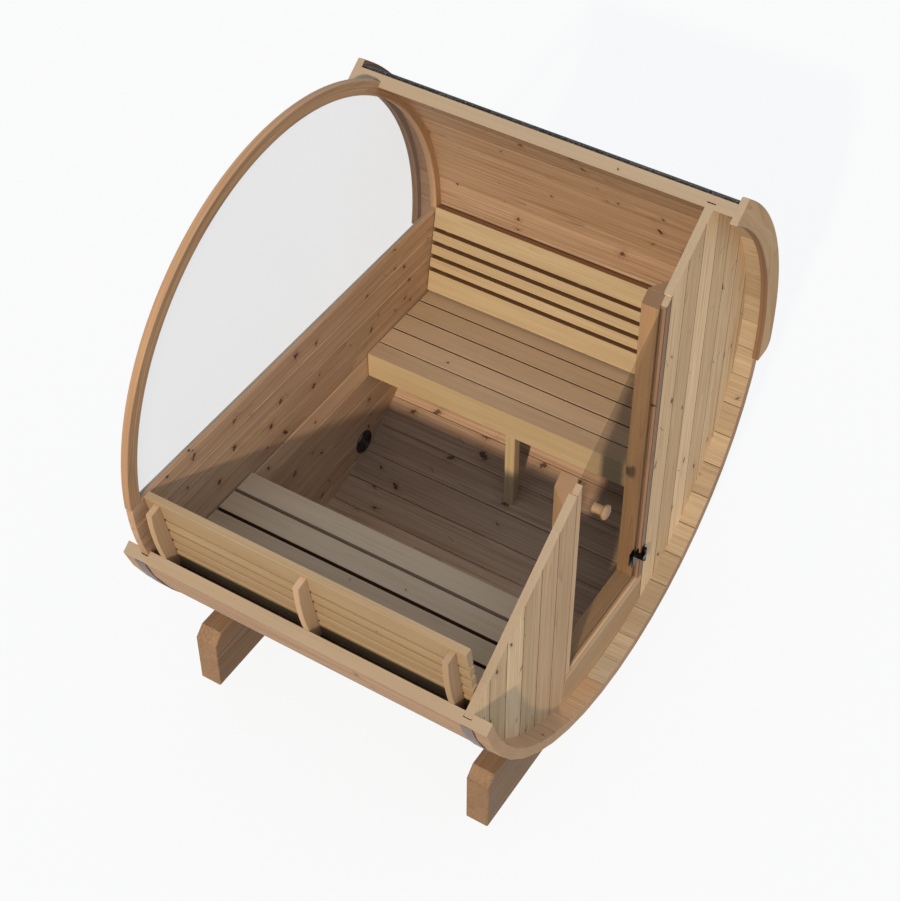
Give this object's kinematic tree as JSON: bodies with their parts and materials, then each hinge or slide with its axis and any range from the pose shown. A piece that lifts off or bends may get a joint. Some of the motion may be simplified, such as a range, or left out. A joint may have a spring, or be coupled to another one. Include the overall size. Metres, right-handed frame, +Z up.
{
  "type": "cutaway barrel sauna",
  "caption": "Wooden barrel sauna in cutaway: stave shell on cradles, end walls, half-moon rear window, facing slatted benches with backrests, and a hinged glass door.",
  "frame": {"origin": "middle of the footprint at ground level, under the cradles", "axes": "+X along the barrel towards the door end, +Y towards the whole far side, -Y towards the open section, +Z up"},
  "size_m": [1.4862, 1.9508, 2.0448],
  "materials": {
    "stave_wood": "planed, oiled spruce",
    "wall_boards": "planed, knotty boards",
    "frame_wood": "planed",
    "hinge_metal": "satin black",
    "tinted_glass": "bronze tint",
    "clear_glass": "clear",
    "handle_wood": "turned, smooth",
    "ring_wood": "bent laminated",
    "vent_plastic": "glossy black",
    "bench_wood": "smooth, sanded",
    "band_steel": "galvanized",
    "arch_wood": "planed",
    "shingle": "mineral-faced felt",
    "cradle_wood": "sawn, oiled"
  },
  "bodies": {
    "barrel": {"shell_1": "stave_wood", "shell_2": "stave_wood", "shell_3": "stave_wood", "shell_4": "stave_wood", "shell_5": "stave_wood", "shell_6": "stave_wood", "shell_7": "stave_wood", "front_wall_near": "wall_boards", "front_wall_far": "wall_boards", "front_wall_sill": "wall_boards", "door_post_near": "frame_wood", "door_post_far": "frame_wood", "door_sill": "frame_wood", "door_trim_near": "frame_wood", "door_trim_far": "frame_wood", "door_trim_sill": "frame_wood", "wall_batten_near": "frame_wood", "wall_batten_far": "frame_wood", "hinge_plate": "hinge_metal", "rear_wall": "wall_boards", "rear_ring": "ring_wood", "rear_glass": "clear_glass", "rear_vent": "vent_plastic", "far_bench_slats": "bench_wood", "far_bench_fascia": "bench_wood", "far_bench_leg": "bench_wood", "far_bench_bearers": "bench_wood", "far_backrest_boards": "bench_wood", "far_backrest_ribs": "bench_wood", "near_bench_slats": "bench_wood", "near_bench_fascia": "bench_wood", "near_bench_leg": "bench_wood", "near_bench_bearers": "bench_wood", "near_backrest_boards": "bench_wood", "near_backrest_ribs": "bench_wood", "hoop_front": "band_steel", "hoop_rear": "band_steel", "arch_front": "arch_wood", "arch_rear": "arch_wood", "roof_1": "shingle", "roof_2": "shingle", "cradle_front": "cradle_wood", "cradle_rear": "cradle_wood"},
    "door": {"door_glass": "tinted_glass", "door_handle": "handle_wood", "hinge_leaf": "hinge_metal"}
  },
  "joints": [
    {"name": "door_hinge", "type": "hinge", "parent": "barrel", "child": "door", "pos_m": [0.66, 0.23617, 0.485], "axis": [0, 0, 1], "range_deg": [0, 110]}
  ]
}
